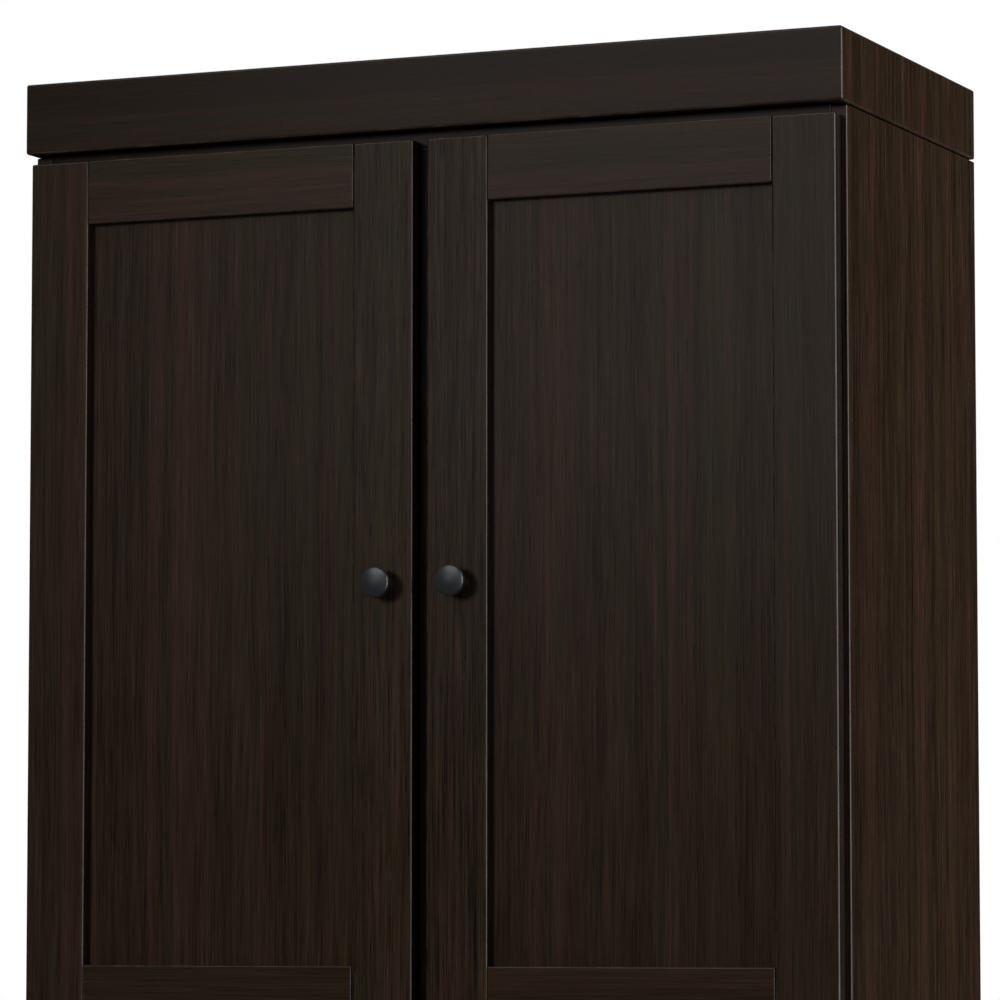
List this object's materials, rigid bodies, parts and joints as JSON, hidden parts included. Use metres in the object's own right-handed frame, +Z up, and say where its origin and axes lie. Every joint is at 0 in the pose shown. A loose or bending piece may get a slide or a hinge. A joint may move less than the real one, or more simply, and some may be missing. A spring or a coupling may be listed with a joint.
{
  "type": "linen cabinet",
  "caption": "Tall freestanding linen cabinet with a boxed cornice, panelled doors in pairs one above the other, adjustable shelves behind them and a recessed plinth.",
  "frame": {"origin": "on the floor under the middle of the cabinet's outer box, which takes in the knobs", "axes": "+Z up the cabinet's height, -Y out of the doors, +X to the right as seen from the front"},
  "size_m": [0.867, 0.436, 1.83],
  "materials": {
    "foil": "satin black-brown wood-grain foil on board",
    "lining": "matt dark brown printed board",
    "knob_metal": "dark gunmetal, satin",
    "hinge_steel": "nickel plated steel"
  },
  "bodies": {
    "carcass": {"cornice_front": "foil", "cornice_left": "foil", "cornice_right": "foil", "cornice_back": "lining", "cornice_top": "foil", "side_panel_left": "foil", "side_panel_right": "foil", "bottom_board": "foil", "middle_board": "foil", "top_board": "foil", "upper_divider": "foil", "lower_divider": "foil", "back_panel": "lining", "plinth_front": "foil", "upper_shelf_left_1": "foil", "upper_shelf_left_2": "foil", "upper_shelf_right_1": "foil", "upper_shelf_right_2": "foil", "lower_shelf_left_1": "foil", "lower_shelf_right_1": "foil", "upper_left_hinge_arm_1": "hinge_steel", "upper_left_hinge_arm_2": "hinge_steel", "upper_right_hinge_arm_1": "hinge_steel", "upper_right_hinge_arm_2": "hinge_steel", "lower_left_hinge_arm_1": "hinge_steel", "lower_left_hinge_arm_2": "hinge_steel", "lower_right_hinge_arm_1": "hinge_steel", "lower_right_hinge_arm_2": "hinge_steel"},
    "upper_left_door": {"upper_left_hinge_stile": "foil", "upper_left_lock_stile": "foil", "upper_left_bottom_rail": "foil", "upper_left_top_rail": "foil", "upper_left_door_panel": "foil", "upper_left_knob": "knob_metal", "upper_left_hinge_cup_1": "hinge_steel", "upper_left_hinge_cup_2": "hinge_steel"},
    "upper_right_door": {"upper_right_hinge_stile": "foil", "upper_right_lock_stile": "foil", "upper_right_bottom_rail": "foil", "upper_right_top_rail": "foil", "upper_right_door_panel": "foil", "upper_right_knob": "knob_metal", "upper_right_hinge_cup_1": "hinge_steel", "upper_right_hinge_cup_2": "hinge_steel"},
    "lower_left_door": {"lower_left_hinge_stile": "foil", "lower_left_lock_stile": "foil", "lower_left_bottom_rail": "foil", "lower_left_top_rail": "foil", "lower_left_door_panel": "foil", "lower_left_knob": "knob_metal", "lower_left_hinge_cup_1": "hinge_steel", "lower_left_hinge_cup_2": "hinge_steel"},
    "lower_right_door": {"lower_right_hinge_stile": "foil", "lower_right_lock_stile": "foil", "lower_right_bottom_rail": "foil", "lower_right_top_rail": "foil", "lower_right_door_panel": "foil", "lower_right_knob": "knob_metal", "lower_right_hinge_cup_1": "hinge_steel", "lower_right_hinge_cup_2": "hinge_steel"}
  },
  "joints": [
    {"name": "upper_left_door_hinge", "type": "hinge", "parent": "carcass", "child": "upper_left_door", "pos_m": [-0.4203, -0.187, 1.31665], "axis": [0, 0, -1], "range_deg": [0, 100]},
    {"name": "upper_right_door_hinge", "type": "hinge", "parent": "carcass", "child": "upper_right_door", "pos_m": [0.4203, -0.187, 1.31665], "axis": [0, 0, 1], "range_deg": [0, 100]},
    {"name": "lower_left_door_hinge", "type": "hinge", "parent": "carcass", "child": "lower_left_door", "pos_m": [-0.4203, -0.187, 0.48015], "axis": [0, 0, -1], "range_deg": [0, 100]},
    {"name": "lower_right_door_hinge", "type": "hinge", "parent": "carcass", "child": "lower_right_door", "pos_m": [0.4203, -0.187, 0.48015], "axis": [0, 0, 1], "range_deg": [0, 100]}
  ]
}
